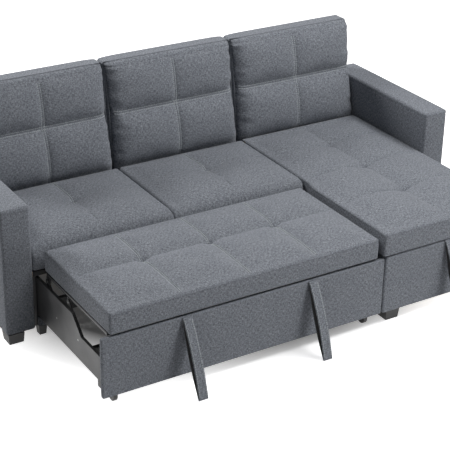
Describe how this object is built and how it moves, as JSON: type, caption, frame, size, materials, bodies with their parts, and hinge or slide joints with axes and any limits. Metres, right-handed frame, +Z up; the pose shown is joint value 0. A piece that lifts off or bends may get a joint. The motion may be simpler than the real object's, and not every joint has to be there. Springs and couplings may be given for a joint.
{
  "type": "corner sofa bed",
  "caption": "Upholstered corner sofa bed: box arms, sewn back cushions, a pull-out bed whose cushion swings up to seat height, and a storage chaise with a hinged lid.",
  "frame": {"origin": "on the floor, under the middle of the whole footprint, pull straps included", "axes": "+X along the back from the plain arm to the chaise arm, +Y from the front towards the back, +Z up"},
  "size_m": [2.14, 1.412, 0.848],
  "materials": {
    "linen_fabric": "blue-grey heathered linen-look weave, matt",
    "back_fabric": "blue-grey heathered linen-look weave, matt",
    "softwood": "planed pine, unfinished",
    "plywood": "birch-faced plywood, unfinished",
    "black_board": "fibreboard, black laminate, matt",
    "webbing": "elastic upholstery webbing",
    "black_plastic": "moulded black plastic, fine grain",
    "zinc_steel": "zinc-plated steel",
    "black_steel": "powder-coated steel, satin black",
    "wheel_plastic": "moulded black nylon"
  },
  "bodies": {
    "sofa_base": {"left_arm_frame": "softwood", "left_arm_cover": "linen_fabric", "right_arm_frame": "softwood", "right_arm_cover": "linen_fabric", "arm_feet": "black_plastic", "bay_left_wall": "black_board", "bay_right_wall": "black_board", "guide_rail_left": "linen_fabric", "guide_rail_right": "linen_fabric", "rail_feet": "black_plastic", "seat_frame": "softwood", "seat_webbing": "webbing", "seat_cushion_left": "linen_fabric", "seat_cushion_middle": "linen_fabric", "sofa_back_frame": "softwood", "chaise_back_frame": "softwood", "back_webbing": "webbing", "back_cushion_left": "linen_fabric", "back_cushion_middle": "linen_fabric", "back_cushion_right": "linen_fabric", "back_top_pads": "linen_fabric", "sofa_back_cover": "back_fabric", "chaise_back_cover": "back_fabric", "unit_bolts": "zinc_steel", "unit_nuts": "zinc_steel", "chaise_front_panel": "linen_fabric", "chaise_left_wall": "linen_fabric", "chaise_right_wall": "linen_fabric", "chaise_bulkhead": "plywood", "chaise_floor": "plywood", "chaise_rear_shelf": "plywood", "chaise_feet": "black_plastic", "lid_hinge_fixed_leaves": "zinc_steel", "lid_hinge_pins": "zinc_steel"},
    "chaise_lid": {"chaise_lid_board": "plywood", "chaise_lid_rear_board": "plywood", "chaise_cushion": "linen_fabric", "lid_hinge_moving_leaves": "zinc_steel", "lid_pull_strap": "linen_fabric"},
    "bed_drawer": {"bed_front_panel": "linen_fabric", "bed_side_board_left": "black_board", "bed_side_board_right": "black_board", "bed_cross_rails": "black_board", "bed_front_sill": "black_board", "castor_forks": "black_steel", "castor_axles": "zinc_steel", "roller_axles": "zinc_steel", "lift_pins_lower": "zinc_steel", "bed_pull_strap_left": "linen_fabric", "bed_pull_strap_right": "linen_fabric"},
    "bed_platform": {"bed_deck": "black_board", "bed_deck_brackets": "black_steel", "lift_pins_upper": "zinc_steel", "bed_cushion": "linen_fabric"},
    "rear_links": {"rear_lift_links": "black_steel"},
    "front_links": {"front_lift_links": "black_steel"},
    "castor_left": {"front_castor_left": "wheel_plastic"},
    "castor_right": {"front_castor_right": "wheel_plastic"},
    "roller_left": {"rear_roller_left": "wheel_plastic"},
    "roller_right": {"rear_roller_right": "wheel_plastic"}
  },
  "joints": [
    {"name": "bed_lift", "type": "hinge", "parent": "bed_drawer", "child": "rear_links", "pos_m": [-0.316, -0.16, 0.17006], "axis": [-1, 0, 0], "range_deg": [0, 55.2]},
    {"name": "front_link_swing", "type": "hinge", "parent": "bed_drawer", "child": "front_links", "pos_m": [-0.316, -0.346, 0.17006], "axis": [-1, 0, 0], "range_deg": [0, 55.2]},
    {"name": "bed_level", "type": "hinge", "parent": "rear_links", "child": "bed_platform", "pos_m": [-0.316, -0.05606, 0.274], "axis": [1, 0, 0], "range_deg": [0, 55.2]},
    {"name": "bed_slide", "type": "slide", "parent": "sofa_base", "child": "bed_drawer", "axis": [0, -1, 0], "range_m": [-0.57, 0.0492]},
    {"name": "chaise_lid_hinge", "type": "hinge", "parent": "sofa_base", "child": "chaise_lid", "pos_m": [0.632, 0.508, 0.396], "axis": [-1, 0, 0], "range_deg": [0, 50]},
    {"name": "castor_left_spin", "type": "hinge", "parent": "bed_drawer", "child": "castor_left", "pos_m": [-0.882, -0.534, 0.025], "axis": [1, 0, 0], "continuous": true},
    {"name": "castor_right_spin", "type": "hinge", "parent": "bed_drawer", "child": "castor_right", "pos_m": [0.25, -0.534, 0.025], "axis": [1, 0, 0], "continuous": true},
    {"name": "roller_left_spin", "type": "hinge", "parent": "bed_drawer", "child": "roller_left", "pos_m": [-0.909, 0.064, 0.1013], "axis": [1, 0, 0], "continuous": true},
    {"name": "roller_right_spin", "type": "hinge", "parent": "bed_drawer", "child": "roller_right", "pos_m": [0.277, 0.064, 0.1013], "axis": [1, 0, 0], "continuous": true}
  ],
  "couplings": [
    {"joint": "front_link_swing", "follows": "bed_lift", "ratio": 1},
    {"joint": "bed_level", "follows": "bed_lift", "ratio": 1},
    {"joint": "bed_slide", "follows": "bed_lift", "m_per_rad": 0.05}
  ]
}
